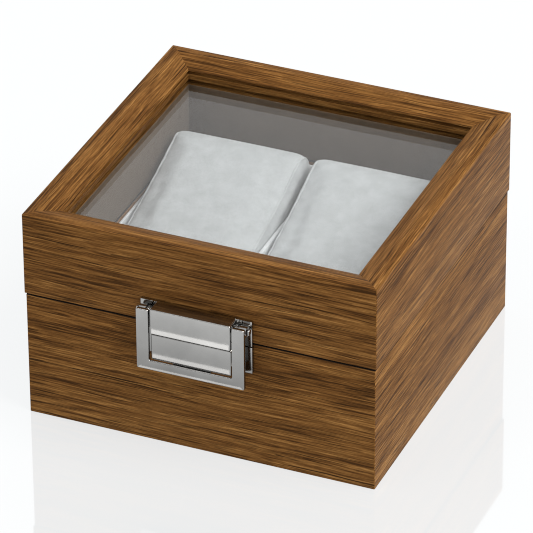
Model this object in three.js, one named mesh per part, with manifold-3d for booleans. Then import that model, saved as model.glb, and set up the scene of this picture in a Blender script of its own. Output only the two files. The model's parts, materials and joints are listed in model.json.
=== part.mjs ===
// A watch box for two watches: a wooden base and a hinged wooden lid with a glass pane, two lift-out
// pillows in lined compartments, two butt hinges at the back and a sprung clasp at the front.
// Millimetres, +Z up, the clasp faces -Y, and the origin is the centre of the underside.

import * as THREE from "three";
import { mergeVertices } from "three/addons/utils/BufferGeometryUtils.js";
import Module from "manifold-3d";

const wasm = await Module();
wasm.setup();

// ---------------------------------------------------------------- driving dimensions

// The case
const BOX_WIDTH = 120; // lid, outside, left to right
const BOX_DEPTH = 118.5; // lid, outside, front to back
const BASE_HEIGHT = 44.4; // base walls, underside to rim
const LID_HEIGHT = 29.1; // lid rails, lower edge to top edge
const SEAM_GAP = 0.5; // between the rim and the closed lid
const RAIL_THICKNESS = 10; // lid rails, outside to inside
const BASE_INSET = 0.4; // the base's outside faces lie this far behind the lid's
const GLUE_GAP = 0.2; // between two glued or resting faces
const MITRE_GAP = 0.12; // half the glue line of a mitre, measured along the board

// The lid rails' moulding
const RAIL_EDGE_RADIUS = 0.5; // outer top edge
const RAIL_TOP_FLAT = 3.8; // level part of the top, from the outside
const RAIL_TOP_DROP = 2.2; // fall of the sloping part, down to the lip
const RAIL_LIP_RADIUS = 0.6; // edge between slope and lip
const RAIL_LIP_HEIGHT = 3.8; // lip above the glass
const QUIRK_BELOW_LIP = 0.7; // level band between the lip and the groove under it
const QUIRK_HEIGHT = 1.1; // shadow groove that runs round above the glass
const QUIRK_DEPTH = 0.9;
const RAIL_FOOT_CHAMFER = 0.2; // lower outside edge
const GLASS_THICKNESS = 3;
const GLASS_BITE = 4.8; // how far the pane reaches into its groove
const GLASS_GAP = 0.3; // play round the pane in its groove

// The base
const RIM_CHAMFER = 0.5; // upper outside edge
const FOOT_CHAMFER = 0.3; // lower outside edge
const REBATE_WIDTH = 5; // step that holds the bottom panel
const PANEL_THICKNESS = 3;
const FELT_THICKNESS = 0.8;
const LINER_THICKNESS = 1; // lined boards on walls and floor
const LINER_DROP = 1; // liner's top edge below the rim
const DIVIDER_THICKNESS = 1.4;

// The pillows
const PILLOW_SIDE_GAP = 0.3; // to the compartment's side walls
const PILLOW_FRONT_ROOM = 14; // finger room in front
const PILLOW_BACK_ROOM = 8; // room for a strap behind
const PILLOW_FRONT_HEIGHT = 33; // top edge at the front, above the compartment's floor
const PILLOW_BACK_HEIGHT = 54.5; // top edge at the back, above the compartment's floor
const PILLOW_TOP_RADIUS = 8;
const PILLOW_FOOT_RADIUS = 6;
const PILLOW_END_ROUNDING = 2.5;

// The hinges
const HINGE_SPACING = 68; // centre to centre
const HINGE_LENGTH = 20;
const LEAF_THICKNESS = 1;
const LEAF_REACH = 7.5; // from the lid's back face inwards
const BARREL_RADIUS = 2;
const BARREL_SETBACK = 0.3; // barrel clear of the lid's back face
const HINGE_PIN_RADIUS = 0.8;
const RUNNING_GAP = 0.3; // round pins and between knuckles
const LID_OPENING = 100; // degrees the lid turns, open
const STOP_PLAY = 2.5; // degrees beyond that before the stop tab meets the wall
const STOP_BITE = 0.6; // how far the stop tab would reach past the wall's face
const STOP_THICKNESS = 1.2;
const HINGE_SCREW_SPACING = 12;
const HINGE_SCREW_INSET = 4.2; // from the lid's back face inwards
const WOOD_SCREW_RADIUS = 0.95;
const WOOD_SCREW_HEAD_RADIUS = 1.7;
const WOOD_SCREW_HEAD_DEPTH = 0.9;
const WOOD_SCREW_LENGTH = 8;

// The clasp
const PLATE_WIDTH = 37.8;
const PLATE_THICKNESS = 1.1;
const PLATE_RISE = 8.4; // lid plate, lid's lower edge to plate top
const PLATE_FALL = 10; // base plate, rim to plate foot
const PLATE_LAP = 0.65; // lid plate's foot below the lid's lower edge
const PLATE_SEAM = 0.45; // between the two plates
const BLOCK_WIDTH = 27.3;
const BASE_BLOCK_PROUD = 5.65; // base block's face in front of the lid's front face
const BLOCK_FOOT = 0.2; // base block's foot above its plate's foot
const BLOCK_ROOT = 0.4; // the blocks start this far in front of the lid's front face, in the plates
const BLOCK_BEVEL = 0.4;
const BLOCK_CORNER_RADIUS = 0.5;
const FRAME_THICKNESS = 1.5;
const FRAME_ARM = 4.25; // width of each arm
const FRAME_BAR = 3.5; // height of the cross bar
const FRAME_BAR_THICKNESS = 0.6; // the bar is relieved behind, to pass in front of the block
const FRAME_BAR_GAP = 0.15; // between the bar and the base block's face, as the lid lifts
const FRAME_BAR_DROP = 0.2; // bar's top below the base block's foot
const FRAME_GAP = 0.5; // between arms and blocks
const LID_BLOCK_SHY = 0.2; // lid block's face behind the clasp frame's
const FRAME_TOP_DROP = 0.4; // arms' ends below the plate's top
const FRAME_CORNER_RADIUS = 0.6;
const FRAME_BEVEL = 0.4;
const PIVOT_DROP = 2.4; // pivot axis below the plate's top
const KNUCKLE_RADIUS = 1.8;
const KNUCKLE_WIDTH = 2.3;
const KNUCKLE_ROOT = 0.2; // how far a knuckle is sunk in its arm
const CLASP_PIN_RADIUS = 0.75;
const CLASP_PIN_BITE = 4.5; // how far the pin reaches into the block
const CLASP_PIN_HEAD_RADIUS = 1.1;
const CLASP_PIN_HEAD = 0.5;
const SPRING_WIRE_RADIUS = 0.2;
const SPRING_TURNS = 2.5;
const SPRING_PITCH = 0.5;
const SPRING_LEG = 5;
const DETENT_WIDTH = 13;
const DETENT_SHEET = 0.35; // thickness of the catch spring
const CATCH_SETBACK = 0.6; // catch spring's upright part behind the base block's face
const DETENT_GROOVE = 0.2; // depth of its groove in the cross bar
const DETENT_HEIGHT = 1.8; // of the cross bar's groove above the bar's foot
const CLASP_SCREW_SPACING = 16;
const CLASP_SCREW_RADIUS = 1.2;
const CLASP_SCREW_BITE = 3.4; // thread in the block
const CLASP_SCREW_HEAD_RADIUS = 2.3;
const CLASP_SCREW_HEAD = 1.2;

// ---------------------------------------------------------------- places worked out from them

const LID_FOOT = BASE_HEIGHT + SEAM_GAP;
const LID_TOP = LID_FOOT + LID_HEIGHT;
const BASE_WIDTH = BOX_WIDTH - 2 * BASE_INSET;
const BASE_DEPTH = BOX_DEPTH - 2 * BASE_INSET;
const BASE_WALL = RAIL_THICKNESS - BASE_INSET;
const INSIDE_X = BOX_WIDTH / 2 - RAIL_THICKNESS;
const INSIDE_Y = BOX_DEPTH / 2 - RAIL_THICKNESS;
const FRONT_Y = -BOX_DEPTH / 2;
const BACK_Y = BOX_DEPTH / 2;
const GROOVE_TOP = LID_TOP - RAIL_TOP_DROP - RAIL_LIP_HEIGHT;
const QUIRK_TOP = LID_TOP - RAIL_TOP_DROP - QUIRK_BELOW_LIP;
const GROOVE_FOOT = GROOVE_TOP - GLASS_THICKNESS - 2 * GLASS_GAP;
const PANEL_FOOT = FELT_THICKNESS + GLUE_GAP;
const REBATE_HEIGHT = PANEL_FOOT + PANEL_THICKNESS + GLUE_GAP;
const FLOOR_TOP = REBATE_HEIGHT + LINER_THICKNESS;
const LINER_TOP = BASE_HEIGHT - LINER_DROP;
const LINED_X = INSIDE_X - GLUE_GAP - LINER_THICKNESS;
const LINED_Y = INSIDE_Y - GLUE_GAP - LINER_THICKNESS;
const HINGE_Y = BACK_Y + BARREL_SETBACK + BARREL_RADIUS;
const HINGE_Z = BASE_HEIGHT + SEAM_GAP / 2;
const WALL_DISTANCE = HINGE_Y - BACK_Y + BASE_INSET; // hinge axis to the base's back wall
const STOP_REACH = WALL_DISTANCE + STOP_BITE; // hinge axis to the stop tab's tip
const PLATE_TOP = LID_FOOT + PLATE_RISE;
const PLATE_FOOT = BASE_HEIGHT - PLATE_FALL;
const LID_PLATE_FOOT = LID_FOOT - PLATE_LAP;
const BASE_PLATE_TOP = LID_PLATE_FOOT - PLATE_SEAM;
const BLOCK_Z = PLATE_FOOT + BLOCK_FOOT;
const FRAME_INNER_X = BLOCK_WIDTH / 2 + FRAME_GAP;
const FRAME_OUTER_X = FRAME_INNER_X + FRAME_ARM;
const FRAME_TOP = PLATE_TOP - FRAME_TOP_DROP;
const FRAME_BAR_TOP = BLOCK_Z - FRAME_BAR_DROP;
const FRAME_FOOT = FRAME_BAR_TOP - FRAME_BAR;
const FRAME_PROUD = BASE_BLOCK_PROUD + FRAME_BAR_GAP + FRAME_BAR_THICKNESS; // beyond the lid's front face
const PIVOT_Y = FRONT_Y - FRAME_PROUD + FRAME_THICKNESS - KNUCKLE_ROOT + KNUCKLE_RADIUS;
const PIVOT_Z = PLATE_TOP - PIVOT_DROP;

// ---------------------------------------------------------------- finishes

const finish = (color, roughness, metalness) =>
  new THREE.MeshStandardMaterial({ color, roughness, metalness });
const walnut = finish(0x7a5532, 0.5, 0);
const paleFabric = finish(0xcfd0d2, 0.95, 0);
const darkFelt = finish(0x26231f, 1, 0);
const fibreboard = finish(0x8a6a48, 0.8, 0);
const nickel = finish(0xc4c4c2, 0.2, 1);
const steel = finish(0x9a9a98, 0.35, 1);
const glassClear = new THREE.MeshStandardMaterial({
  color: 0xe8efee,
  roughness: 0.02,
  metalness: 0,
  transparent: true,
  opacity: 0.3,
});

// ---------------------------------------------------------------- solids

// A closed three.js geometry as a manifold-3d solid, and back.
function solidOf(geometry) {
  const bare = geometry.clone();
  bare.deleteAttribute("normal");
  bare.deleteAttribute("uv");
  const merged = mergeVertices(bare, 1e-4);
  return new wasm.Manifold(
    new wasm.Mesh({
      numProp: 3,
      vertProperties: new Float32Array(merged.attributes.position.array),
      triVerts: new Uint32Array(merged.index.array),
    }),
  );
}

function geometryOf(solid) {
  const mesh = solid.getMesh();
  const geometry = new THREE.BufferGeometry();
  geometry.setAttribute("position", new THREE.BufferAttribute(mesh.vertProperties, 3));
  geometry.setIndex(new THREE.BufferAttribute(mesh.triVerts, 1));
  return geometry;
}

const join = (...geometries) => geometryOf(geometries.map(solidOf).reduce((a, b) => a.add(b)));
const cut = (body, ...tools) =>
  geometryOf(tools.map(solidOf).reduce((a, b) => a.subtract(b), solidOf(body)));

// A box from its lowest to its highest corner.
function block(low, high) {
  const size = high.map((value, i) => value - low[i]);
  return new THREE.BoxGeometry(...size).translate(...low.map((value, i) => value + size[i] / 2));
}

// A cylinder along X, Y or Z, from one end's centre.
function rod(radius, length, axis, start, sides = 24) {
  const geometry = new THREE.CylinderGeometry(radius, radius, length, sides).translate(0, length / 2, 0);
  if (axis === "x") geometry.rotateZ(-Math.PI / 2);
  if (axis === "z") geometry.rotateX(Math.PI / 2);
  return geometry.translate(...start);
}

// An outline through corners given as [x, y] or [x, y, radius]. An arc rounds each corner that has a
// radius.
function outline(corners, segments = 5) {
  const shape = new THREE.Shape();
  const points = corners.map(([x, y]) => new THREE.Vector2(x, y));
  const path = corners.flatMap(([, , radius = 0], i) => {
    const here = points[i];
    if (!radius) return [here];
    const before = points[(i + points.length - 1) % points.length].clone().sub(here).normalize();
    const after = points[(i + 1) % points.length].clone().sub(here).normalize();
    const half = Math.acos(before.dot(after)) / 2;
    const centre = before.clone().add(after).normalize().multiplyScalar(radius / Math.sin(half)).add(here);
    const from = before.multiplyScalar(radius / Math.tan(half)).add(here).sub(centre).angle();
    const to = after.multiplyScalar(radius / Math.tan(half)).add(here).sub(centre).angle();
    const turn = Math.atan2(Math.sin(to - from), Math.cos(to - from));
    return Array.from({ length: segments + 1 }, (_, k) => {
      const angle = from + (turn * k) / segments;
      return new THREE.Vector2(Math.cos(angle), Math.sin(angle)).multiplyScalar(radius).add(centre);
    });
  });
  return shape.setFromPoints(path);
}

// A profile (inwards, up) run along a wall of a given outside length, with both ends mitred. It lies
// along X, with its outside face on the plane Y = 0 and its inside towards +Y.
function mitredBoard(profile, length) {
  const geometry = new THREE.ExtrudeGeometry(profile, { depth: length, steps: 1, bevelEnabled: false });
  const at = geometry.getAttribute("position");
  for (let i = 0; i < at.count; i++) {
    const inwards = at.getX(i);
    const end = length / 2 - inwards - MITRE_GAP;
    const side = at.getZ(i) > length / 2 ? 1 : -1;
    at.setXYZ(i, side * end, inwards, at.getY(i));
  }
  return geometry;
}

// A plate with bevelled edges: an outline (x, z) given depth towards -Y, its back face on Y = 0.
function bevelledPlate(shape, depth, bevel) {
  return new THREE.ExtrudeGeometry(shape, {
    depth: depth - 2 * bevel,
    bevelThickness: bevel,
    bevelSize: bevel,
    bevelOffset: -bevel,
    bevelSegments: 2,
  })
    .translate(0, 0, bevel)
    .rotateX(Math.PI / 2);
}

const rectangle = (width, height, radius = 0) =>
  outline([
    [-width / 2, -height / 2, radius],
    [width / 2, -height / 2, radius],
    [width / 2, height / 2, radius],
    [-width / 2, height / 2, radius],
  ]);

function mesh(name, geometry, material, position = [0, 0, 0], turn = 0) {
  const made = new THREE.Mesh(geometry, material);
  made.name = name;
  made.position.set(...position);
  made.rotation.z = turn;
  return made;
}

const group = (...children) => new THREE.Group().add(...children);

// ---------------------------------------------------------------- base

// The four sides of a frame: name, outside length, place of the outside face, and turn about Z.
const sides = (width, depth) => [
  { side: "front", length: width, place: [0, -depth / 2, 0], turn: 0 },
  { side: "back", length: width, place: [0, depth / 2, 0], turn: Math.PI },
  { side: "left", length: depth, place: [-width / 2, 0, 0], turn: -Math.PI / 2 },
  { side: "right", length: depth, place: [width / 2, 0, 0], turn: Math.PI / 2 },
];

const hingeCentres = [-HINGE_SPACING / 2, HINGE_SPACING / 2];
const hingeScrewOffsets = [-HINGE_SCREW_SPACING / 2, HINGE_SCREW_SPACING / 2];
const hingeScrewPlaces = hingeCentres.flatMap((x) => hingeScrewOffsets.map((offset) => x + offset));
const claspScrewPlaces = [-CLASP_SCREW_SPACING / 2, CLASP_SCREW_SPACING / 2];
const BASE_SCREW_Z = (BLOCK_Z + BASE_PLATE_TOP) / 2;
const LID_SCREW_Z = (LID_PLATE_FOOT + PLATE_TOP) / 2;

// Room for a hinge leaf and its screws in a board's edge. The board's outside face is on Y = 0, the edge
// faces up at height edge when facing is 1, or down when it is -1.
function hingeSeats(edge, facing, reach, screwInset) {
  const depth = LEAF_THICKNESS + GLUE_GAP;
  const over = 2;
  const pilot = WOOD_SCREW_RADIUS + RUNNING_GAP;
  const pilotDepth = WOOD_SCREW_LENGTH + RUNNING_GAP;
  const low = Math.min(edge - facing * depth, edge + facing * over);
  const high = Math.max(edge - facing * depth, edge + facing * over);
  const half = HINGE_LENGTH / 2 + RUNNING_GAP;
  const hollows = hingeCentres.map((x) => block([x - half, -over, low], [x + half, reach, high]));
  const holes = hingeScrewPlaces.map((x) =>
    rod(pilot, pilotDepth, "z", [x, screwInset, facing > 0 ? edge - pilotDepth : edge]),
  );
  return [...hollows, ...holes];
}

// Holes for the clasp's screws through a front board, with a seat for each head on the inside.
function claspScrewHoles(z, thickness, headSeat) {
  const over = 1;
  return claspScrewPlaces.flatMap((x) => [
    rod(CLASP_SCREW_RADIUS + RUNNING_GAP, thickness + 2 * over, "y", [x, -over, z]),
    rod(CLASP_SCREW_HEAD_RADIUS + RUNNING_GAP, headSeat + over, "y", [x, thickness - headSeat, z]),
  ]);
}

const HEAD_SEAT = CLASP_SCREW_HEAD + RUNNING_GAP;

function baseWalls() {
  const profile = outline([
    [FOOT_CHAMFER, 0],
    [BASE_WALL - REBATE_WIDTH, 0],
    [BASE_WALL - REBATE_WIDTH, REBATE_HEIGHT],
    [BASE_WALL, REBATE_HEIGHT],
    [BASE_WALL, BASE_HEIGHT],
    [RIM_CHAMFER, BASE_HEIGHT],
    [0, BASE_HEIGHT - RIM_CHAMFER],
    [0, FOOT_CHAMFER],
  ]);
  return sides(BASE_WIDTH, BASE_DEPTH).map(({ side, length, place, turn }) => {
    let geometry = mitredBoard(profile, length);
    if (side === "front") geometry = cut(geometry, ...claspScrewHoles(BASE_SCREW_Z, BASE_WALL, HEAD_SEAT));
    if (side === "back") {
      const reach = LEAF_REACH - BASE_INSET + RUNNING_GAP;
      geometry = cut(geometry, ...hingeSeats(BASE_HEIGHT, 1, reach, HINGE_SCREW_INSET - BASE_INSET));
    }
    return mesh(`base_${side}_wall`, geometry, walnut, place, turn);
  });
}

function bottomPanelAndFelt() {
  const x = INSIDE_X + REBATE_WIDTH - GLUE_GAP;
  const y = INSIDE_Y + REBATE_WIDTH - GLUE_GAP;
  return [
    mesh("bottom_panel", block([-x, -y, PANEL_FOOT], [x, y, PANEL_FOOT + PANEL_THICKNESS]), fibreboard),
    mesh("underside_felt", block([-x, -y, 0], [x, y, FELT_THICKNESS]), darkFelt),
  ];
}

function linings() {
  const x = INSIDE_X - GLUE_GAP;
  const y = INSIDE_Y - GLUE_GAP;
  const floorX = LINED_X - GLUE_GAP;
  const floorY = LINED_Y - GLUE_GAP;
  const half = DIVIDER_THICKNESS / 2;
  return [
    mesh("liner_left", block([-x, -y, REBATE_HEIGHT], [-LINED_X, y, LINER_TOP]), paleFabric),
    mesh("liner_right", block([LINED_X, -y, REBATE_HEIGHT], [x, y, LINER_TOP]), paleFabric),
    mesh("liner_front", block([-floorX, -y, REBATE_HEIGHT], [floorX, -LINED_Y, LINER_TOP]), paleFabric),
    mesh("liner_back", block([-floorX, LINED_Y, REBATE_HEIGHT], [floorX, y, LINER_TOP]), paleFabric),
    mesh("floor_liner", block([-floorX, -floorY, REBATE_HEIGHT], [floorX, floorY, FLOOR_TOP]), paleFabric),
    mesh("divider", block([-half, -floorY, FLOOR_TOP + GLUE_GAP], [half, floorY, LINER_TOP]), paleFabric),
  ];
}

// ---------------------------------------------------------------- pillows

// A bolster that leans towards the front: its outline from the side, given width and rounded ends.
function pillow(name, centreX) {
  const width = LINED_X - DIVIDER_THICKNESS / 2 - 2 * PILLOW_SIDE_GAP;
  const front = -LINED_Y + PILLOW_FRONT_ROOM;
  const back = LINED_Y - PILLOW_BACK_ROOM;
  const foot = FLOOR_TOP + GLUE_GAP;
  const shape = outline(
    [
      [front, foot, PILLOW_FOOT_RADIUS],
      [back, foot, PILLOW_FOOT_RADIUS],
      [back, foot + PILLOW_BACK_HEIGHT, PILLOW_TOP_RADIUS],
      [front, foot + PILLOW_FRONT_HEIGHT, PILLOW_TOP_RADIUS],
    ],
    6,
  );
  const geometry = new THREE.ExtrudeGeometry(shape, {
    depth: width - 2 * PILLOW_END_ROUNDING,
    bevelThickness: PILLOW_END_ROUNDING,
    bevelSize: PILLOW_END_ROUNDING,
    bevelOffset: -PILLOW_END_ROUNDING,
    bevelSegments: 3,
  });
  geometry.translate(0, 0, PILLOW_END_ROUNDING - width / 2);
  geometry.rotateX(Math.PI / 2).rotateZ(Math.PI / 2);
  return mesh(name, geometry, paleFabric, [centreX, 0, 0]);
}

const PILLOW_X = (LINED_X + DIVIDER_THICKNESS / 2) / 2;

// ---------------------------------------------------------------- lid

function lidRails() {
  const grooveDepth = GLASS_BITE + GLASS_GAP;
  const profile = outline([
    [RAIL_FOOT_CHAMFER, LID_FOOT],
    [RAIL_THICKNESS, LID_FOOT],
    [RAIL_THICKNESS, GROOVE_FOOT],
    [RAIL_THICKNESS - grooveDepth, GROOVE_FOOT],
    [RAIL_THICKNESS - grooveDepth, GROOVE_TOP],
    [RAIL_THICKNESS, GROOVE_TOP],
    [RAIL_THICKNESS, QUIRK_TOP - QUIRK_HEIGHT],
    [RAIL_THICKNESS - QUIRK_DEPTH, QUIRK_TOP - QUIRK_HEIGHT],
    [RAIL_THICKNESS - QUIRK_DEPTH, QUIRK_TOP],
    [RAIL_THICKNESS, QUIRK_TOP],
    [RAIL_THICKNESS, LID_TOP - RAIL_TOP_DROP, RAIL_LIP_RADIUS],
    [RAIL_TOP_FLAT, LID_TOP],
    [0, LID_TOP, RAIL_EDGE_RADIUS],
    [0, LID_FOOT + RAIL_FOOT_CHAMFER],
  ]);
  return sides(BOX_WIDTH, BOX_DEPTH).map(({ side, length, place, turn }) => {
    let geometry = mitredBoard(profile, length);
    if (side === "front") {
      geometry = cut(geometry, ...claspScrewHoles(LID_SCREW_Z, RAIL_THICKNESS, HEAD_SEAT));
    }
    if (side === "back") {
      geometry = cut(geometry, ...hingeSeats(LID_FOOT, -1, LEAF_REACH + RUNNING_GAP, HINGE_SCREW_INSET));
    }
    return mesh(`lid_${side}_rail`, geometry, walnut, place, turn);
  });
}

function glassPane() {
  const x = INSIDE_X + GLASS_BITE;
  const y = INSIDE_Y + GLASS_BITE;
  const foot = GROOVE_FOOT + GLASS_GAP;
  return mesh("glass_pane", block([-x, -y, foot], [x, y, foot + GLASS_THICKNESS]), glassClear);
}

// ---------------------------------------------------------------- hinges

const KNUCKLE_PITCH = HINGE_LENGTH / 3;

// A leaf with its knuckles, about the pin's axis along X. The plate lies below the axis for the base
// (facing 1) and above it for the lid (facing -1). The spans are the knuckles' ends along the pin.
function hingeLeaf(facing, spans) {
  const near = -BARREL_RADIUS - BARREL_SETBACK;
  const far = -(HINGE_Y - BACK_Y) - LEAF_REACH;
  const face = (-facing * SEAM_GAP) / 2;
  const [low, high] = [face, face - facing * LEAF_THICKNESS].sort((a, b) => a - b);
  const screwY = HINGE_Y - (BACK_Y - HINGE_SCREW_INSET);
  const half = HINGE_LENGTH / 2;
  let leaf = block([-half, far, low], [half, near, high]);
  for (const [from, to] of spans) {
    const tongue = block([from, near - 1, low], [to, 0, high]);
    leaf = join(leaf, tongue, rod(BARREL_RADIUS, to - from, "x", [from, 0, 0]));
  }
  const bore = rod(HINGE_PIN_RADIUS + RUNNING_GAP, HINGE_LENGTH + 2, "x", [-half - 1, 0, 0]);
  const screwHoles = hingeScrewOffsets.map((x) =>
    rod(WOOD_SCREW_HEAD_RADIUS + RUNNING_GAP, LEAF_THICKNESS + 2, "z", [x, -screwY, low - 1]),
  );
  return cut(leaf, bore, ...screwHoles);
}

// The tab on the lid leaf's knuckle that meets the base's back wall when the lid is fully open. It is
// drawn straight down and turned back by the lid's opening, less the angle at which its corner meets it.
function stopTab(from, to) {
  const half = STOP_THICKNESS / 2;
  const meets = Math.asin(WALL_DISTANCE / Math.hypot(STOP_REACH, half)) - Math.atan2(half, STOP_REACH);
  const tab = block([from, -half, -STOP_REACH], [to, half, -HINGE_PIN_RADIUS - 2 * RUNNING_GAP]);
  return tab.rotateX(THREE.MathUtils.degToRad(LID_OPENING + STOP_PLAY) - meets);
}

function hinge(name, x) {
  const place = [x, HINGE_Y, HINGE_Z];
  const half = HINGE_LENGTH / 2;
  const middle = [-KNUCKLE_PITCH / 2 + RUNNING_GAP / 2, KNUCKLE_PITCH / 2 - RUNNING_GAP / 2];
  const outer = [
    [-half, -KNUCKLE_PITCH / 2 - RUNNING_GAP / 2],
    [KNUCKLE_PITCH / 2 + RUNNING_GAP / 2, half],
  ];
  const pinLength = HINGE_LENGTH - 0.6;
  return {
    base: [
      mesh(`${name}_base_leaf`, hingeLeaf(1, outer), steel, place),
      mesh(`${name}_pin`, rod(HINGE_PIN_RADIUS, pinLength, "x", [-pinLength / 2, 0, 0]), steel, place),
    ],
    lid: [mesh(`${name}_lid_leaf`, join(hingeLeaf(-1, [middle]), stopTab(...middle)), steel, place)],
  };
}

// A screw along +Z, its head's top at Z = 0 and its point below: a cone head for wood, or a flat one.
function screw(headRadius, headDepth, radius, length, flatHead) {
  const tip = radius * 1.5;
  const profile = [
    [0, -length],
    [radius, -length + tip],
    [radius, -headDepth],
    ...(flatHead ? [[headRadius, -headDepth]] : []),
    [headRadius, flatHead ? -headDepth * 0.3 : 0],
    ...(flatHead ? [[headRadius * 0.8, 0]] : []),
    [0, 0],
  ].map(([r, z]) => new THREE.Vector2(r, z));
  return new THREE.LatheGeometry(profile, 16).rotateX(Math.PI / 2);
}

function hingeScrews(part, z, headUp) {
  return hingeScrewPlaces.map((x, i) => {
    const head = [WOOD_SCREW_HEAD_RADIUS, WOOD_SCREW_HEAD_DEPTH];
    const geometry = screw(...head, WOOD_SCREW_RADIUS, WOOD_SCREW_LENGTH, false);
    if (!headUp) geometry.rotateX(Math.PI);
    return mesh(`hinge_screw_${part}_${i + 1}`, geometry, steel, [x, BACK_Y - HINGE_SCREW_INSET, z]);
  });
}

// ---------------------------------------------------------------- clasp

// A back plate with a raised block, from foot to top. Its back lies on Y = back, and its block's face
// stands proud of the lid's front face.
function claspPlate(name, foot, top, blockFoot, back, proud) {
  const plateFront = FRONT_Y - PLATE_THICKNESS;
  const outlineOfBlock = rectangle(BLOCK_WIDTH, top - blockFoot, BLOCK_CORNER_RADIUS);
  const face = bevelledPlate(outlineOfBlock, proud - BLOCK_ROOT, BLOCK_BEVEL);
  face.translate(0, FRONT_Y - BLOCK_ROOT, (top + blockFoot) / 2);
  const plate = block([-PLATE_WIDTH / 2, plateFront, foot], [PLATE_WIDTH / 2, back - GLUE_GAP / 2, top]);
  const threads = claspScrewPlaces.map((x) =>
    rod(CLASP_SCREW_RADIUS + RUNNING_GAP, back - FRONT_Y + CLASP_SCREW_BITE + RUNNING_GAP + 1, "y", [
      x,
      FRONT_Y - CLASP_SCREW_BITE - RUNNING_GAP,
      (top + blockFoot) / 2,
    ]),
  );
  return mesh(name, cut(join(plate, face), ...threads), nickel);
}

function lidClaspPlate() {
  const proud = FRAME_PROUD - LID_BLOCK_SHY;
  const plate = claspPlate("clasp_lid_plate", LID_PLATE_FOOT, PLATE_TOP, LID_PLATE_FOOT, FRONT_Y, proud);
  const bite = CLASP_PIN_BITE + RUNNING_GAP;
  const bore = CLASP_PIN_RADIUS + RUNNING_GAP;
  const right = rod(bore, bite + 1, "x", [BLOCK_WIDTH / 2 - bite, PIVOT_Y, PIVOT_Z]);
  const left = rod(bore, bite + 1, "x", [-BLOCK_WIDTH / 2 - 1, PIVOT_Y, PIVOT_Z]);
  plate.geometry = cut(plate.geometry, left, right);
  return plate;
}

function baseClaspPlate() {
  const back = FRONT_Y + BASE_INSET;
  return claspPlate("clasp_base_plate", PLATE_FOOT, BASE_PLATE_TOP, BLOCK_Z, back, BASE_BLOCK_PROUD);
}

function claspFrame() {
  const shape = outline([
    [-FRAME_OUTER_X, FRAME_FOOT, FRAME_CORNER_RADIUS],
    [FRAME_OUTER_X, FRAME_FOOT, FRAME_CORNER_RADIUS],
    [FRAME_OUTER_X, FRAME_TOP, FRAME_CORNER_RADIUS],
    [FRAME_INNER_X, FRAME_TOP, FRAME_CORNER_RADIUS],
    [FRAME_INNER_X, FRAME_BAR_TOP, FRAME_CORNER_RADIUS],
    [-FRAME_INNER_X, FRAME_BAR_TOP, FRAME_CORNER_RADIUS],
    [-FRAME_INNER_X, FRAME_TOP, FRAME_CORNER_RADIUS],
    [-FRAME_OUTER_X, FRAME_TOP, FRAME_CORNER_RADIUS],
  ]);
  const back = FRONT_Y - FRAME_PROUD + FRAME_THICKNESS;
  const barBack = FRONT_Y - FRAME_PROUD + FRAME_BAR_THICKNESS;
  const u = bevelledPlate(shape, FRAME_THICKNESS, FRAME_BEVEL).translate(0, back, 0);
  const knuckleFrom = FRAME_OUTER_X - 0.2 - KNUCKLE_WIDTH;
  const knuckles = [knuckleFrom, -knuckleFrom - KNUCKLE_WIDTH].map((x) =>
    rod(KNUCKLE_RADIUS, KNUCKLE_WIDTH, "x", [x, PIVOT_Y, PIVOT_Z]),
  );
  const relief = block(
    [-FRAME_INNER_X, barBack, FRAME_FOOT - 1],
    [FRAME_INNER_X, back + 1, FRAME_BAR_TOP + FRAME_CORNER_RADIUS + 1],
  );
  const grooveZ = FRAME_FOOT + DETENT_HEIGHT;
  const grooveHalf = DETENT_SHEET / 2 + RUNNING_GAP;
  const groove = block(
    [-DETENT_WIDTH / 2 - RUNNING_GAP, barBack - DETENT_GROOVE, grooveZ - grooveHalf],
    [DETENT_WIDTH / 2 + RUNNING_GAP, barBack + 1, grooveZ + grooveHalf],
  );
  const bores = [-FRAME_OUTER_X - 1, FRAME_INNER_X - 1].map((x) =>
    rod(CLASP_PIN_RADIUS + RUNNING_GAP, FRAME_ARM + 2, "x", [x, PIVOT_Y, PIVOT_Z]),
  );
  return mesh("clasp_frame", cut(join(u, ...knuckles), relief, groove, ...bores), nickel);
}

// A pivot pin with a low head outside its arm; side is 1 on the right and -1 on the left.
function claspPin(side) {
  const inner = BLOCK_WIDTH / 2 - CLASP_PIN_BITE;
  const headFrom = FRAME_OUTER_X + RUNNING_GAP;
  const shank = rod(CLASP_PIN_RADIUS, headFrom - inner + 0.1, "x", [inner, 0, 0]);
  const head = rod(CLASP_PIN_HEAD_RADIUS, CLASP_PIN_HEAD, "x", [headFrom, 0, 0]);
  const name = `clasp_pin_${side > 0 ? "right" : "left"}`;
  return mesh(name, join(shank, head), steel, [0, PIVOT_Y, PIVOT_Z], side < 0 ? Math.PI : 0);
}

// A torsion spring round the pin: a short helix with one leg down the back plate and one behind the arm.
class TorsionWire extends THREE.Curve {
  getPoint(t) {
    const radius = CLASP_PIN_RADIUS + RUNNING_GAP + SPRING_WIRE_RADIUS;
    const coil = 2 * Math.PI * radius * SPRING_TURNS;
    const along = t * (coil + 2 * SPRING_LEG) - SPRING_LEG;
    const turned = Math.min(Math.max(along, 0), coil);
    const angle = turned / radius;
    const beyond = along - turned;
    const outwards = new THREE.Vector3(0, Math.cos(angle), Math.sin(angle)).multiplyScalar(radius);
    const onwards = new THREE.Vector3(0, -Math.sin(angle), Math.cos(angle)).multiplyScalar(beyond);
    const sideways = new THREE.Vector3((angle / (2 * Math.PI)) * SPRING_PITCH, 0, 0);
    return outwards.add(onwards).add(sideways);
  }
}

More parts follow.
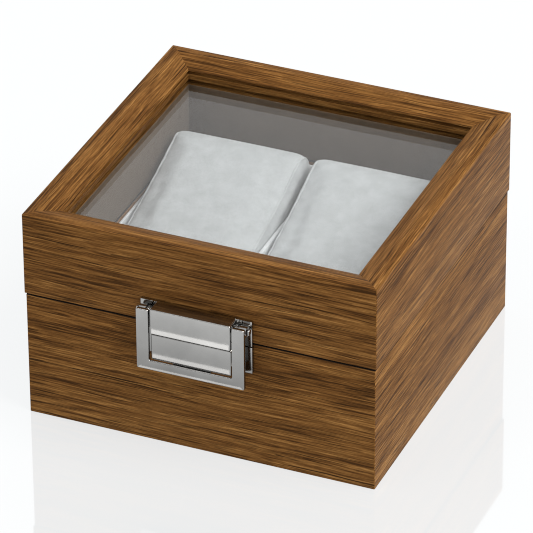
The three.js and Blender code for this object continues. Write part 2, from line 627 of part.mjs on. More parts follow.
function claspSpring(side) {
  const section = new THREE.Shape().absarc(0, 0, SPRING_WIRE_RADIUS, 0, 2 * Math.PI);
  const geometry = new THREE.ExtrudeGeometry(section, {
    steps: 60,
    curveSegments: 4,
    extrudePath: new TorsionWire(),
  });
  const from = FRAME_INNER_X + SPRING_WIRE_RADIUS;
  const spring = mesh(`clasp_spring_${side > 0 ? "right" : "left"}`, geometry, steel);
  spring.position.set(side > 0 ? from : -from - SPRING_TURNS * SPRING_PITCH, PIVOT_Y, PIVOT_Z);
  return spring;
}

// A bent strip under the base block whose lip rests in the cross bar's groove and holds it shut.
function catchSpring() {
  const top = BLOCK_Z - GLUE_GAP;
  const rootY = FRONT_Y - PLATE_THICKNESS - GLUE_GAP;
  const kneeY = FRONT_Y - BASE_BLOCK_PROUD + CATCH_SETBACK;
  const lipY = FRONT_Y - FRAME_PROUD + FRAME_BAR_THICKNESS - DETENT_GROOVE + GLUE_GAP;
  const lipZ = FRAME_FOOT + DETENT_HEIGHT + DETENT_SHEET / 2;
  const profile = outline([
    [rootY, top],
    [rootY, top - DETENT_SHEET],
    [kneeY + DETENT_SHEET, top - DETENT_SHEET],
    [kneeY + DETENT_SHEET, lipZ - DETENT_SHEET],
    [lipY, lipZ - DETENT_SHEET],
    [lipY, lipZ],
    [kneeY, lipZ],
    [kneeY, top],
  ]);
  const geometry = new THREE.ExtrudeGeometry(profile, { depth: DETENT_WIDTH, bevelEnabled: false });
  geometry.translate(0, 0, -DETENT_WIDTH / 2).rotateX(Math.PI / 2).rotateZ(Math.PI / 2);
  return mesh("catch_spring", geometry, steel);
}

// The clasp's screws, driven from inside the box, with their heads sunk in the board's inside face.
function claspScrews(part, z, insideY) {
  const headTop = insideY - RUNNING_GAP / 2;
  const length = headTop - (FRONT_Y - CLASP_SCREW_BITE);
  return claspScrewPlaces.map((x, i) => {
    const geometry = screw(CLASP_SCREW_HEAD_RADIUS, CLASP_SCREW_HEAD, CLASP_SCREW_RADIUS, length, true);
    geometry.rotateX(-Math.PI / 2);
    return mesh(`clasp_screw_${part}_${i + 1}`, geometry, steel, [x, headTop, z]);
  });
}

// ---------------------------------------------------------------- assembly

const hinges = [hinge("hinge_left", hingeCentres[0]), hinge("hinge_right", hingeCentres[1])];

const base = group(
  ...baseWalls(),
  ...bottomPanelAndFelt(),
  ...linings(),
  ...hinges.flatMap((h) => h.base),
  ...hingeScrews("base", BASE_HEIGHT, true),
  baseClaspPlate(),
  ...claspScrews("base", BASE_SCREW_Z, FRONT_Y + RAIL_THICKNESS),
  catchSpring(),
);

const lid = group(
  ...lidRails(),
  glassPane(),
  ...hinges.flatMap((h) => h.lid),
  ...hingeScrews("lid", LID_FOOT, false),
  lidClaspPlate(),
  ...claspScrews("lid", LID_SCREW_Z, FRONT_Y + RAIL_THICKNESS),
  ...[1, -1].flatMap((side) => [claspPin(side), claspSpring(side)]),
);

const pillows = [pillow("pillow_left", -PILLOW_X), pillow("pillow_right", PILLOW_X)];

const watchBox = group(base, lid, claspFrame(), ...pillows);

export default watchBox;
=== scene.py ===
import json
import math

import bmesh
import bpy
from mathutils import Matrix, Vector


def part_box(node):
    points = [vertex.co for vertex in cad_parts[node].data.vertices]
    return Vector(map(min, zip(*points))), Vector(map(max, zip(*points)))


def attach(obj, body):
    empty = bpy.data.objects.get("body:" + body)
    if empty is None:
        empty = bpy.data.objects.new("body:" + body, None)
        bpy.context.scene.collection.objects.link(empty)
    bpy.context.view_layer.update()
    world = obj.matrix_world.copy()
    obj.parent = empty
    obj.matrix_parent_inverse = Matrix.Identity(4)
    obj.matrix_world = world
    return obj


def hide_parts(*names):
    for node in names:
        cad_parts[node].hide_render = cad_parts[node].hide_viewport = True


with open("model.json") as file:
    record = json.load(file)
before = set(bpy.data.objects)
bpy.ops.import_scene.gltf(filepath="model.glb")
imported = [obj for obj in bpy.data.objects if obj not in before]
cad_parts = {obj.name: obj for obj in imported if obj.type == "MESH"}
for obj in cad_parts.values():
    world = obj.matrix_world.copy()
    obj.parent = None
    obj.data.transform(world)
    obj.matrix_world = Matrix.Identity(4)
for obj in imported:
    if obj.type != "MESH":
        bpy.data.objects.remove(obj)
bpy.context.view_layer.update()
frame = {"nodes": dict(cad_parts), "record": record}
mm = 0.001


# ---------------------------------------------------------------- camera
# A long lens looks down on the box from its front right, a step off the middle of the wood, and leans
# by less than half a degree.

wood_low = Vector(min(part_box(f"lid_{side}_rail")[0][i] for side in ("front", "left")) for i in (0, 1))
wood_high = Vector(max(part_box(f"lid_{side}_rail")[1][i] for side in ("back", "right")) for i in (0, 1))
wood_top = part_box("lid_front_rail")[1][2]
off_centre = Vector((-0.95, -1.56, -1.4)) * mm
aim = Vector((*((wood_low + wood_high) / 2), wood_top / 2)) + off_centre
azimuth, elevation, lean = math.radians(22.98), math.radians(31.62), math.radians(-0.394)
distance = 1598.5 * mm

camera = bpy.data.objects.new("camera", bpy.data.cameras.new("camera"))
bpy.context.scene.collection.objects.link(camera)
bpy.context.scene.camera = camera
towards_camera = Vector(
    (
        math.sin(azimuth) * math.cos(elevation),
        -math.cos(azimuth) * math.cos(elevation),
        math.sin(elevation),
    )
)
camera.location = aim + towards_camera * distance
camera.rotation_mode = "QUATERNION"
upright = towards_camera.to_track_quat("Z", "Y")
camera.rotation_quaternion = upright @ Matrix.Rotation(lean, 3, "Z").to_quaternion()
camera.data.lens = 334.2
camera.data.sensor_width = 36
camera.data.clip_start = 0.05
camera.data.clip_end = 20


# ---------------------------------------------------------------- studio
# A polished table of lit white acrylic, a large soft light over the right side, a small weak one at
# the front left that the clasp mirrors, and a bright room all round, which the glass mirrors.

scene = bpy.context.scene
scene.view_settings.view_transform = "Standard"
scene.cycles.filter_width = 1.1


def plain_material(name):
    """A new material and its Principled shader."""
    made = bpy.data.materials.new(name)
    made.use_nodes = True
    return made, made.node_tree.nodes["Principled BSDF"]


def link(material, out, into):
    material.node_tree.links.new(out, into)


def add_node(material, kind, **settings):
    made = material.node_tree.nodes.new(kind)
    for key, value in settings.items():
        setattr(made, key, value)
    return made


def made_object(name, bm):
    """An object at the origin from a finished bmesh."""
    data = bpy.data.meshes.new(name)
    bm.to_mesh(data)
    bm.free()
    made = bpy.data.objects.new(name, data)
    scene.collection.objects.link(made)
    return made


table_gap = 0.05 * mm
bm = bmesh.new()
bmesh.ops.create_grid(bm, x_segments=1, y_segments=1, size=6)
bmesh.ops.translate(bm, verts=bm.verts[:], vec=(0, 0, -table_gap))
table = made_object("table", bm)
table_white, shader = plain_material("table_white")
shader.inputs["Base Color"].default_value = (0.11, 0.11, 0.11, 1)
shader.inputs["Roughness"].default_value = 0.04
shader.inputs["IOR"].default_value = 2.3
shader.inputs["Emission Color"].default_value = (0.97, 0.99, 1, 1)
shader.inputs["Emission Strength"].default_value = 0.715
clear = add_node(table_white, "ShaderNodeBsdfTransparent")
face = add_node(table_white, "ShaderNodeNewGeometry")
from_above = add_node(table_white, "ShaderNodeMixShader")
link(table_white, face.outputs["Backfacing"], from_above.inputs[0])
link(table_white, shader.outputs[0], from_above.inputs[1])
link(table_white, clear.outputs[0], from_above.inputs[2])
link(table_white, from_above.outputs[0], table_white.node_tree.nodes["Material Output"].inputs["Surface"])
table.data.materials.append(table_white)


def soft_light(name, place, size, watts, colour=(1, 1, 1)):
    """A square area light that faces the middle of the box."""
    lamp = bpy.data.lights.new(name, "AREA")
    lamp.size = size
    lamp.energy = watts
    lamp.color = colour
    made = bpy.data.objects.new(name, lamp)
    made.location = place
    made.rotation_mode = "QUATERNION"
    made.rotation_quaternion = (made.location - aim).to_track_quat("Z", "Y")
    scene.collection.objects.link(made)
    return made


soft_light("key_light", (1.2, -0.1, 1.6), 1.1, 41, (1, 0.98, 0.95))
soft_light("fill_light", (-0.7, -1.15, 1.6), 0.5, 5.5, (1, 0.99, 0.98))

world = bpy.data.worlds.new("studio")
scene.world = world
world.use_nodes = True
world.node_tree.nodes["Background"].inputs["Color"].default_value = (1, 1, 1, 1)
world.node_tree.nodes["Background"].inputs["Strength"].default_value = 0.8


# ---------------------------------------------------------------- walnut
# Every board is fibreboard wrapped in walnut foil with a satin finish. The grain runs along the board:
# broad bands, rippled lines and fibres, long dark streaks, short dark pores and an even finer tooth.


def feed(tree, socket, value):
    """Puts a number, a colour or another node's output into a socket."""
    if isinstance(value, bpy.types.NodeSocket):
        tree.links.new(value, socket)
    elif isinstance(value, tuple):
        socket.default_value = (*value, 1)
    else:
        socket.default_value = value


def noise_layer(tree, vector, scale, detail, roughness, distortion=0.0):
    made = tree.nodes.new("ShaderNodeTexNoise")
    made.inputs["Detail"].default_value = detail
    made.inputs["Roughness"].default_value = roughness
    made.inputs["Distortion"].default_value = distortion
    feed(tree, made.inputs["Scale"], scale)
    feed(tree, made.inputs["Vector"], vector)
    return made.outputs["Fac"]


def stretched(tree, vector, per_metre):
    """The vector times features per metre, along, across and up."""
    made = tree.nodes.new("ShaderNodeVectorMath")
    made.operation = "MULTIPLY"
    made.inputs[1].default_value = per_metre
    feed(tree, made.inputs[0], vector)
    return made.outputs[0]


def ramp(tree, value, *stops):
    made = tree.nodes.new("ShaderNodeValToRGB")
    bar = made.color_ramp
    while len(bar.elements) < len(stops):
        bar.elements.new(0.5)
    for element, (place, colour) in zip(bar.elements, stops):
        element.position = place
        element.color = (*colour, 1)
    feed(tree, made.inputs[0], value)
    return made.outputs["Color"]


def grey(value):
    return (value, value, value)


def mixed(tree, kind, share, first, second):
    """Two colours mixed, where each argument may be a value or another node's output."""
    made = tree.nodes.new("ShaderNodeMix")
    made.data_type = "RGBA"
    made.blend_type = kind
    for index, value in ((0, share), (6, first), (7, second)):
        feed(tree, made.inputs[index], value)
    return made.outputs[2]


def calculated(tree, operation, first, second):
    made = tree.nodes.new("ShaderNodeMath")
    made.operation = operation
    feed(tree, made.inputs[0], first)
    feed(tree, made.inputs[1], second)
    return made.outputs[0]


def new_group(name, inputs, outputs):
    """An empty node group with named sockets, and its input and output nodes."""
    made = bpy.data.node_groups.new(name, "ShaderNodeTree")
    for socket, kind in inputs:
        made.interface.new_socket(socket, in_out="INPUT", socket_type=kind)
    for socket, kind in outputs:
        made.interface.new_socket(socket, in_out="OUTPUT", socket_type=kind)
    return made, made.nodes.new("NodeGroupInput"), made.nodes.new("NodeGroupOutput")


VECTOR, COLOUR, NUMBER = "NodeSocketVector", "NodeSocketColor", "NodeSocketFloat"

grain, group_in, group_out = new_group(
    "walnut grain",
    [("Vector", VECTOR)],
    [("Color", COLOUR), ("Roughness", NUMBER), ("Height", NUMBER)],
)
position = group_in.outputs["Vector"]
ripple = grain.nodes.new("ShaderNodeTexNoise")
ripple.inputs["Scale"].default_value = 1
ripple.inputs["Detail"].default_value = 3
feed(grain, ripple.inputs["Vector"], stretched(grain, position, (14, 45, 45)))
sway = grain.nodes.new("ShaderNodeVectorMath")
sway.operation = "MULTIPLY_ADD"
sway.inputs[1].default_value = (0, 3 * mm, 3 * mm)
feed(grain, sway.inputs[0], ripple.outputs["Color"])
feed(grain, sway.inputs[2], position)
swayed = sway.outputs[0]
bands = noise_layer(grain, stretched(grain, swayed, (1, 80, 80)), 1, 1, 0.5)
lines = noise_layer(grain, stretched(grain, swayed, (5, 700, 700)), 1, 2, 0.55)
fibres = noise_layer(grain, stretched(grain, swayed, (45, 2300, 2300)), 1, 2, 0.55)
pores = noise_layer(grain, stretched(grain, swayed, (60, 2300, 2300)), 1, 1, 0.5)
streaks = noise_layer(grain, stretched(grain, swayed, (9, 1400, 1400)), 1, 2, 0.5)
tooth = noise_layer(grain, stretched(grain, position, (380, 2600, 2600)), 1, 2, 0.6)

figure = calculated(
    grain, "ADD", calculated(grain, "MULTIPLY", bands, 0.22), calculated(grain, "MULTIPLY", lines, 0.25)
)
figure = calculated(grain, "ADD", figure, calculated(grain, "MULTIPLY", fibres, 0.53))
wood_tone = ramp(
    grain,
    figure,
    (0.39, (0.04, 0.0175, 0.0055)),
    (0.46, (0.105, 0.044, 0.0115)),
    (0.54, (0.172, 0.078, 0.021)),
    (0.62, (0.28, 0.138, 0.041)),
)
pore_mask = ramp(grain, pores, (0.62, grey(0)), (0.7, grey(1)))
streak_mask = ramp(grain, streaks, (0.63, grey(0)), (0.68, grey(1)))
tooth_tone = ramp(grain, tooth, (0.3, grey(0.3)), (0.7, grey(0.7)))
darkest = (0.022, 0.009, 0.003)
wood_tone = mixed(grain, "MIX", calculated(grain, "MULTIPLY", streak_mask, 0.9), wood_tone, darkest)
wood_tone = mixed(grain, "MIX", calculated(grain, "MULTIPLY", pore_mask, 0.7), wood_tone, darkest)
feed(grain, group_out.inputs["Color"], mixed(grain, "OVERLAY", 0.5, wood_tone, tooth_tone))
feed(grain, group_out.inputs["Roughness"], ramp(grain, fibres, (0.3, grey(0.42)), (0.7, grey(0.32))))
pore_depth = calculated(grain, "MULTIPLY", pore_mask, 0.8)
height = calculated(grain, "SUBTRACT", calculated(grain, "MULTIPLY", fibres, 0.6), pore_depth)
height = calculated(grain, "ADD", height, calculated(grain, "MULTIPLY", tooth, 0.4))
feed(grain, group_out.inputs["Height"], height)


def walnut(name, turn):
    """Walnut whose grain runs along X, or along Y with a quarter turn."""
    made, shader = plain_material(name)
    place = add_node(made, "ShaderNodeTexCoord")
    along = add_node(made, "ShaderNodeMapping")
    along.inputs["Rotation"].default_value = (0, 0, turn)
    wood = add_node(made, "ShaderNodeGroup", node_tree=grain)
    bump = add_node(made, "ShaderNodeBump")
    bump.inputs["Strength"].default_value = 0.35
    bump.inputs["Distance"].default_value = 0.06 * mm
    link(made, place.outputs["Object"], along.inputs["Vector"])
    link(made, along.outputs[0], wood.inputs["Vector"])
    link(made, wood.outputs["Color"], shader.inputs["Base Color"])
    link(made, wood.outputs["Roughness"], shader.inputs["Roughness"])
    link(made, wood.outputs["Height"], bump.inputs["Height"])
    link(made, bump.outputs[0], shader.inputs["Normal"])
    shader.inputs["Specular IOR Level"].default_value = 0.02
    return made


walnut_across = walnut("walnut_across", 0)
walnut_deep = walnut("walnut_deep", math.pi / 2)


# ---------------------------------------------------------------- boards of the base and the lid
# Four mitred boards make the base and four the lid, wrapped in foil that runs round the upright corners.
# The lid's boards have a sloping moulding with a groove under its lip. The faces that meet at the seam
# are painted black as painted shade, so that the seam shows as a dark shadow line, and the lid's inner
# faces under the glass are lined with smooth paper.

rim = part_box("base_front_wall")[1][2]
lid_foot, lid_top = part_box("lid_front_rail")[0][2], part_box("lid_front_rail")[1][2]
pane_low, pane_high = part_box("glass_pane")
seam_shade_reach = 0.6 * mm


def mottled(name, dark, light, per_metre, detail, roughness, specular):
    """The seam's painted shade or lining paper, whose colour varies a little from place to place."""
    made, shader = plain_material(name)
    place = add_node(made, "ShaderNodeTexCoord").outputs["Object"]
    speckle = noise_layer(made.node_tree, place, per_metre, detail, 0.6)
    link(made, ramp(made.node_tree, speckle, (0.3, dark), (0.7, light)), shader.inputs["Base Color"])
    shader.inputs["Roughness"].default_value = roughness
    shader.inputs["Specular IOR Level"].default_value = specular
    return made


# The near-black of the seam faces is painted shade, standing in for the shadow in the gap between lid and
# base.
seam_painted_shade = mottled("seam_painted_shade", (0.006, 0.004, 0.003), (0.016, 0.01, 0.007), 1600, 2, 0.8, 0.1)
smooth_lining = mottled("smooth_lining", (0.092, 0.066, 0.046), (0.116, 0.086, 0.062), 300, 3, 0.7, 0.2)

corner_radius = 0.4 * mm
corner_steps = 3


def board(name, profile, length, place, turn):
    """A mitred board. The profile is (inwards, up, radius) points, with the outside face at 0 inwards."""
    bm = bmesh.new()
    corners = [bm.verts.new((-length / 2, inwards, up)) for inwards, up, radius in profile]
    bm.faces.new(corners)
    for corner, (inwards, up, radius) in zip(corners, profile):
        if radius:
            bmesh.ops.bevel(
                bm, geom=[corner], offset=radius, affect="VERTICES", segments=5, profile=0.5, material=-1
            )
    end = bmesh.ops.extrude_face_region(bm, geom=bm.faces[:])
    moved = [v for v in end["geom"] if isinstance(v, bmesh.types.BMVert)]
    bmesh.ops.translate(bm, verts=moved, vec=(length, 0, 0))
    for side in (-1, 1):
        bmesh.ops.bisect_plane(
            bm,
            geom=bm.verts[:] + bm.edges[:] + bm.faces[:],
            plane_co=(side * length / 2, 0, 0),
            plane_no=(side, 1, 0),
            clear_outer=True,
        )
        bmesh.ops.holes_fill(bm, edges=[e for e in bm.edges if e.is_boundary])
        for step in range(corner_steps):
            bmesh.ops.bisect_plane(
                bm,
                geom=bm.verts[:] + bm.edges[:] + bm.faces[:],
                plane_co=(side * (length / 2 - corner_radius * (1 - step / corner_steps)), 0, 0),
                plane_no=(side, 0, 0),
            )
    straight = length / 2 - corner_radius
    for vert in bm.verts:
        beyond = abs(vert.co.x) - straight
        inside = corner_radius - vert.co.y
        if beyond > 0 and inside > 1e-9:
            angle = beyond / inside * math.pi / 4
            vert.co.x = math.copysign(straight + inside * math.sin(angle), vert.co.x)
            vert.co.y = corner_radius - inside * math.cos(angle)
    bmesh.ops.recalc_face_normals(bm, faces=bm.faces[:])
    into_place = Matrix.Translation(place) @ Matrix.Rotation(turn, 4, "Z")
    bmesh.ops.transform(bm, matrix=into_place, verts=bm.verts[:])
    made = made_object(name, bm)
    made.data.shade_smooth()
    made.data.set_sharp_from_angle(angle=math.radians(32))
    return made


def frame_of_boards(part, profile, low, high, body):
    """The four boards between two corners of a part, each in place of its CAD node."""
    width, depth = high[0] - low[0], high[1] - low[1]
    kind = "wall" if part == "base" else "rail"
    for side, length, place, turn, wood in (
        ("front", width, (0, low[1], 0), 0, walnut_across),
        ("back", width, (0, high[1], 0), math.pi, walnut_across),
        ("left", depth, (low[0], 0, 0), -math.pi / 2, walnut_deep),
        ("right", depth, (high[0], 0, 0), math.pi / 2, walnut_deep),
    ):
        made = board(f"{part}_{side}_board", profile, length, place, turn)
        coverings = (wood, seam_painted_shade, smooth_lining)
        for covering in coverings:
            made.data.materials.append(covering)
        inwards = Matrix.Rotation(turn, 3, "Z") @ Vector((0, 1, 0))
        for face in made.data.polygons:
            up = face.center.z
            # Faces at the seam, on the rim and the lid's foot, get the painted shade.
            if abs(face.normal.z) > 0.3 and rim - seam_shade_reach < up < lid_foot + seam_shade_reach / 2:
                face.material_index = coverings.index(seam_painted_shade)
            elif part == "lid" and face.normal.dot(inwards) > 0.5 and up < pane_low[2]:
                face.material_index = coverings.index(smooth_lining)
        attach(made, body)
        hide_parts(f"{part}_{side}_{kind}")


base_low, base_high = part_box("base_left_wall")[0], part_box("base_right_wall")[1]
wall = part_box("base_left_wall")[1][0] - base_low[0]
rebate = 5 * mm
glue_gap = 0.2 * mm
rebate_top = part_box("bottom_panel")[1][2] + glue_gap
base_profile = [
    (0, 0, 0.2 * mm),
    (wall - rebate, 0, 0),
    (wall - rebate, rebate_top, 0),
    (wall, rebate_top, 0),
    (wall, rim, 0.4 * mm),
    (0, rim, 0.4 * mm),
]
frame_of_boards("base", base_profile, base_low, base_high, "base")

lid_low, lid_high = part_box("lid_left_rail")[0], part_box("lid_right_rail")[1]
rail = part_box("lid_left_rail")[1][0] - lid_low[0]
play = 0.3 * mm
pane_groove = lid_low[0] + rail - pane_low[0] + play
quirk_floor, quirk_height, quirk_depth = lid_top - 4 * mm, 1.1 * mm, 0.9 * mm
slope_drop, top_flat = 2.2 * mm, 3.8 * mm
lid_profile = [
    (0, lid_foot, 0.2 * mm),
    (rail, lid_foot, 0.3 * mm),
    (rail, pane_low[2] - play, 0.3 * mm),
    (rail - pane_groove, pane_low[2] - play, 0),
    (rail - pane_groove, pane_high[2] + play, 0),
    (rail, pane_high[2] + play, 0.2 * mm),
    (rail, quirk_floor, 0),
    (rail - quirk_depth, quirk_floor, 0),
    (rail - quirk_depth, quirk_floor + quirk_height, 0),
    (rail, quirk_floor + quirk_height, 0.2 * mm),
    (rail, lid_top - slope_drop, 0.5 * mm),
    (top_flat, lid_top, 1.2 * mm),
    (0, lid_top, 0.5 * mm),
]
frame_of_boards("lid", lid_profile, lid_low, lid_high, "lid")


# ---------------------------------------------------------------- glass
# A clear polished pane, held in a groove all round. Shadow and diffuse rays pass straight through it
# with a slight tint, so that the pillows under it are lit.

glass_clear, shader = plain_material("glass_clear")
shader.inputs["Base Color"].default_value = (0.95, 0.96, 0.96, 1)
shader.inputs["Roughness"].default_value = 0.0
shader.inputs["IOR"].default_value = 1.5
shader.inputs["Transmission Weight"].default_value = 1.0
see_through = add_node(glass_clear, "ShaderNodeBsdfTransparent")
see_through.inputs["Color"].default_value = (0.93, 0.95, 0.95, 1)
ray = add_node(glass_clear, "ShaderNodeLightPath")
either = add_node(glass_clear, "ShaderNodeMath", operation="MAXIMUM")
choice = add_node(glass_clear, "ShaderNodeMixShader")
link(glass_clear, ray.outputs["Is Shadow Ray"], either.inputs[0])
link(glass_clear, ray.outputs["Is Diffuse Ray"], either.inputs[1])
link(glass_clear, either.outputs[0], choice.inputs[0])
link(glass_clear, shader.outputs[0], choice.inputs[1])
link(glass_clear, see_through.outputs[0], choice.inputs[2])
link(glass_clear, choice.outputs[0], glass_clear.node_tree.nodes["Material Output"].inputs["Surface"])
pane = frame["nodes"]["glass_pane"]
pane.data.materials.clear()
pane.data.materials.append(glass_clear)


# ---------------------------------------------------------------- panel, felt and linings
# The bottom panel is bare fibreboard with felt glued under it. The linings and the divider are boards
# flocked in light grey.

bodies = frame["record"]["behaviour"]["bodies"]


def finished(node, edge, material, crease=25):
    """A copy of a CAD node with its sharp edges eased, in place of the node."""
    bm = bmesh.new()
    bm.from_mesh(frame["nodes"][node].data)
    bmesh.ops.remove_doubles(bm, verts=bm.verts[:], dist=0.002 * mm)
    bmesh.ops.dissolve_limit(
        bm, angle_limit=math.radians(1), verts=bm.verts[:], edges=bm.edges[:], use_dissolve_boundaries=False
    )
    sharp = [e for e in bm.edges if e.is_manifold and e.calc_face_angle() > math.radians(crease)]
    bmesh.ops.bevel(
        bm, geom=sharp, offset=edge, affect="EDGES", segments=2, profile=0.5, material=-1, clamp_overlap=True
    )
    bmesh.ops.triangulate(bm, faces=[f for f in bm.faces if len(f.verts) > 4])
    made = made_object(f"{node}_finished", bm)
    made.data.shade_smooth()
    made.data.set_sharp_from_angle(angle=math.radians(35))
    made.data.materials.append(material)
    body = next(name for name, nodes in bodies.items() if node in nodes)
    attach(made, body)
    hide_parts(node)
    return made


nap, group_in, group_out = new_group(
    "short nap",
    [("Vector", VECTOR), ("Fibres per metre", NUMBER), ("Dark", COLOUR), ("Light", COLOUR)],
    [("Color", COLOUR), ("Height", NUMBER)],
)
position, per_metre = group_in.outputs["Vector"], group_in.outputs["Fibres per metre"]
mottle = noise_layer(nap, position, calculated(nap, "DIVIDE", per_metre, 12), 3, 0.6)
pile = noise_layer(nap, position, per_metre, 2, 0.7)
mottle_mask = ramp(nap, mottle, (0.3, grey(0)), (0.7, grey(1)))
cloth_tone = mixed(nap, "MIX", mottle_mask, group_in.outputs["Dark"], group_in.outputs["Light"])
pile_tone = ramp(nap, pile, (0.3, grey(0.3)), (0.7, grey(0.7)))
feed(nap, group_out.inputs["Color"], mixed(nap, "OVERLAY", 0.3, cloth_tone, pile_tone))
feed(nap, group_out.inputs["Height"], pile)


def napped(name, dark, light, fibres_per_metre, depth, sheen):
    """Short-pile fabric: mottled colour, a rough nap and a soft sheen at grazing angles."""
    made, shader = plain_material(name)
    place = add_node(made, "ShaderNodeTexCoord").outputs["Object"]
    pile = add_node(made, "ShaderNodeGroup", node_tree=nap)
    for socket, value in zip(pile.inputs, (place, fibres_per_metre, dark, light)):
        feed(made.node_tree, socket, value)
    bump = add_node(made, "ShaderNodeBump")
    bump.inputs["Strength"].default_value = 0.6
    bump.inputs["Distance"].default_value = depth
    link(made, pile.outputs["Color"], shader.inputs["Base Color"])
    link(made, pile.outputs["Height"], bump.inputs["Height"])
    link(made, bump.outputs[0], shader.inputs["Normal"])
    shader.inputs["Roughness"].default_value = 0.95
    shader.inputs["Specular IOR Level"].default_value = 0.15
    shader.inputs["Sheen Weight"].default_value = sheen
    shader.inputs["Sheen Roughness"].default_value = 0.4
    return made


flock = napped("grey_flock", (0.5, 0.5, 0.51), (0.62, 0.62, 0.63), 3500, 0.08 * mm, 0.3)
dark_felt = napped("dark_felt", (0.012, 0.011, 0.01), (0.03, 0.028, 0.025), 2200, 0.15 * mm, 0.2)
bare_board = napped("bare_fibreboard", (0.2, 0.12, 0.06), (0.3, 0.19, 0.1), 1800, 0.05 * mm, 0.0)

finished("bottom_panel", 0.3 * mm, bare_board)
finished("underside_felt", 0.2 * mm, dark_felt)
for node in ("liner_front", "liner_back", "liner_left", "liner_right", "floor_liner", "divider"):
    finished(node, 0.4 * mm, flock)


# ---------------------------------------------------------------- metal
# The clasp is cast metal, polished and nickel plated. Hinges, pins, screws and springs are plain
# bright steel. Both are faintly brushed and unevenly polished, and a painted reflection darkens them in
# broad blobs lower down.

polish, group_in, group_out = new_group(
    "uneven polish and painted reflection",
    [("Vector", VECTOR), ("Color", COLOUR), ("Roughness", NUMBER), ("Painted reflection share", NUMBER)],
    [("Color", COLOUR), ("Roughness", NUMBER), ("Height", NUMBER)],
)
position = group_in.outputs["Vector"]
brushed = noise_layer(polish, stretched(polish, position, (90, 2400, 2400)), 1, 2, 0.5)
patches = noise_layer(polish, position, 260, 3, 0.6)
# Painted reflection: broad blobs and a darkening towards the bottom stand in for the darker things the metal
# mirrors.
broad = noise_layer(polish, position, 42, 1, 0.4, 0.8)
split = polish.nodes.new("ShaderNodeSeparateXYZ")
feed(polish, split.inputs[0], position)
rise = calculated(polish, "MULTIPLY", split.outputs["Z"], 16)
rise = calculated(polish, "ADD", rise, calculated(polish, "MULTIPLY", broad, 0.3))
painted_reflection_mask = ramp(polish, rise, (0.62, grey(0)), (0.96, grey(1)))
painted_reflection = mixed(polish, "MIX", painted_reflection_mask, group_in.outputs["Painted reflection share"], grey(1))
patch_tone = ramp(polish, patches, (0.3, grey(0.94)), (0.7, grey(1)))
metal_tone = mixed(polish, "MULTIPLY", 1.0, group_in.outputs["Color"], patch_tone)
patch_mask = ramp(polish, patches, (0.35, grey(0)), (0.65, grey(1)))
unevenness = calculated(polish, "ADD", calculated(polish, "MULTIPLY", patch_mask, 0.45), 0.8)
roughness = calculated(polish, "MULTIPLY", unevenness, group_in.outputs["Roughness"])
feed(polish, group_out.inputs["Color"], mixed(polish, "MULTIPLY", 1.0, metal_tone, painted_reflection))
feed(polish, group_out.inputs["Roughness"], roughness)
feed(polish, group_out.inputs["Height"], brushed)


def polished(name, colour, roughness, brushing, painted_reflection_share):
    """Bright metal with a painted reflection in broad blobs lower down, whose darkest part has the given
    share of the colour.
    """
    made, shader = plain_material(name)
    place = add_node(made, "ShaderNodeTexCoord").outputs["Object"]
    surface = add_node(made, "ShaderNodeGroup", node_tree=polish)
    for socket, value in zip(surface.inputs, (place, colour, roughness, painted_reflection_share)):
        feed(made.node_tree, socket, value)
    bump = add_node(made, "ShaderNodeBump")
    bump.inputs["Strength"].default_value = brushing
    bump.inputs["Distance"].default_value = 0.01 * mm
    link(made, surface.outputs["Color"], shader.inputs["Base Color"])
    link(made, surface.outputs["Roughness"], shader.inputs["Roughness"])
    link(made, surface.outputs["Height"], bump.inputs["Height"])
    link(made, bump.outputs[0], shader.inputs["Normal"])
    shader.inputs["Metallic"].default_value = 1
    return made


# The last number is how dark the painted reflection makes each metal where it is darkest.
nickel = polished("bright_nickel", (0.4, 0.395, 0.385), 0.11, 0.06, 0.6)
steel = polished("plain_steel", (0.42, 0.42, 0.41), 0.28, 0.2, 0.8)

for node in ("clasp_frame", "clasp_lid_plate", "clasp_base_plate"):
    finished(node, 0.22 * mm, nickel)
for node in frame["nodes"]:
    if "screw" in node or "hinge" in node or "spring" in node or "_pin" in node:
        finished(node, 0.08 * mm, steel)


# ---------------------------------------------------------------- pillows
# Light grey velvet sewn round firm foam: a band over the top and round the bottom, and two end
# panels joined to it by a piped seam. Air pressure in a cloth simulation plumps the cover.

velvet = napped("grey_velvet", (0.38, 0.383, 0.39), (0.455, 0.46, 0.47), 2600, 0.1 * mm, 0.3)
slack = 0.6 * mm
most_swell = 1.2 * mm
air_frames = 20
seam_inset = 1.7 * mm
piping_radius, piping_sunk = 0.5 * mm, 0.15 * mm


def settle(made):
    """The object's mesh becomes what its modifiers show, and the modifiers go."""
    shown = made.evaluated_get(bpy.context.evaluated_depsgraph_get())
    data = bpy.data.meshes.new_from_object(shown)
    made.modifiers.clear()
    made.data = data


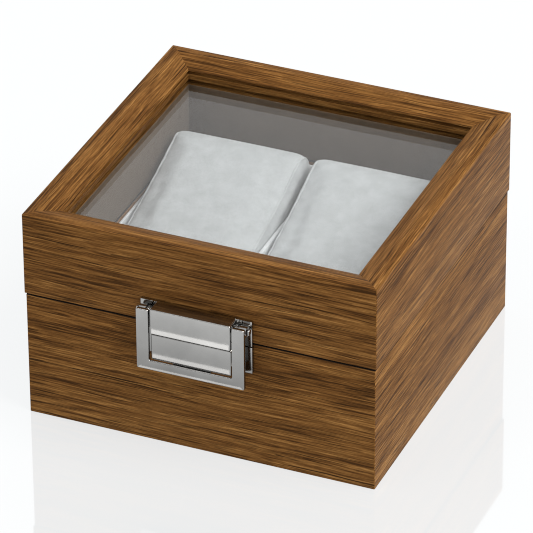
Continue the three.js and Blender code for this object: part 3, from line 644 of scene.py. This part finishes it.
def plumped(node):
    """A pillow's cover: a copy of the foam a little smaller, skinned anew and swelled by air pressure."""
    low, high = (Vector(corner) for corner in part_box(node))
    middle = (low + high) / 2
    bm = bmesh.new()
    bm.from_mesh(frame["nodes"][node].data)
    bmesh.ops.remove_doubles(bm, verts=bm.verts[:], dist=0.002 * mm)
    shrink = Matrix.Diagonal([(high[i] - low[i] - 2 * slack) / (high[i] - low[i]) for i in range(3)])
    for vert in bm.verts:
        vert.co = middle + shrink @ (vert.co - middle)
    made = made_object(f"{node}_cover", bm)
    remesh = made.modifiers.new("remesh", "REMESH")
    remesh.mode = "VOXEL"
    remesh.voxel_size = 2 * mm
    settle(made)
    before = [vert.co.copy() for vert in made.data.vertices]
    cloth = made.modifiers.new("cloth", "CLOTH")
    cloth.settings.quality = 6
    cloth.settings.mass = 0.2
    cloth.settings.tension_stiffness = 12
    cloth.settings.compression_stiffness = 12
    cloth.settings.shear_stiffness = 6
    cloth.settings.bending_stiffness = 0.4
    cloth.settings.use_pressure = True
    cloth.settings.uniform_pressure_force = 4
    cloth.settings.effector_weights.gravity = 0
    cloth.point_cache.frame_start = 1
    cloth.point_cache.frame_end = air_frames
    for step in range(1, air_frames + 1):
        scene.frame_set(step)
    settle(made)
    for vert, was in zip(made.data.vertices, before):
        moved = vert.co - was
        moved.length = min(moved.length, most_swell)
        vert.co = was + moved
    scene.frame_set(1)
    return made


def kept_inside(made, low, high):
    """Points that swelled past the space the pillow has lie flat against it."""
    for vert in made.data.vertices:
        for i in range(3):
            vert.co[i] = min(max(vert.co[i], low[i]), high[i])


def outline_at(made, x):
    """The pillow's outline in the plane at x, as points in order."""
    bm = bmesh.new()
    bm.from_mesh(made.data)
    bmesh.ops.bisect_plane(
        bm,
        geom=bm.verts[:] + bm.edges[:] + bm.faces[:],
        plane_co=(x, 0, 0),
        plane_no=(1, 0, 0),
        clear_inner=True,
        clear_outer=True,
    )
    bm.verts.ensure_lookup_table()
    vert, edge = bm.verts[0], bm.verts[0].link_edges[0]
    points = []
    while True:
        points.append(vert.co.copy())
        vert = edge.other_vert(vert)
        edge = next(e for e in vert.link_edges if e is not edge)
        if vert is bm.verts[0]:
            break
    bm.free()
    return points


def piping(made, name, x):
    """A thin cord sewn into the seam, a little sunk in the cover all round the outline."""
    points = outline_at(made, x)
    middle = sum(points, Vector()) / len(points)
    path = bpy.data.curves.new(name, "CURVE")
    path.dimensions = "3D"
    path.bevel_depth = piping_radius
    path.bevel_resolution = 2
    line = path.splines.new("POLY")
    line.points.add(len(points) - 1)
    for point, place in zip(line.points, points):
        point.co = (*(place + (middle - place).normalized() * piping_sunk), 1)
    line.use_cyclic_u = True
    cord = bpy.data.objects.new(name, path)
    scene.collection.objects.link(cord)
    data = bpy.data.meshes.new_from_object(cord)
    bpy.data.objects.remove(cord)
    cord = bpy.data.objects.new(name, data)
    scene.collection.objects.link(cord)
    cord.data.shade_smooth()
    return cord


for node in ("pillow_left", "pillow_right"):
    cover = plumped(node)
    smooth = cover.modifiers.new("smooth", "SUBSURF")
    smooth.levels = smooth.render_levels = 1
    settle(cover)
    low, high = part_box(node)
    kept_inside(cover, low, high)
    for side, x in (("left", low[0] + seam_inset), ("right", high[0] - seam_inset)):
        cord = piping(cover, f"{node}_piping_{side}", x)
        cord.data.materials.append(velvet)
        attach(cord, node)
    cover.data.materials.clear()
    cover.data.materials.append(velvet)
    cover.data.shade_smooth()
    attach(cover, node)
    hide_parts(node)
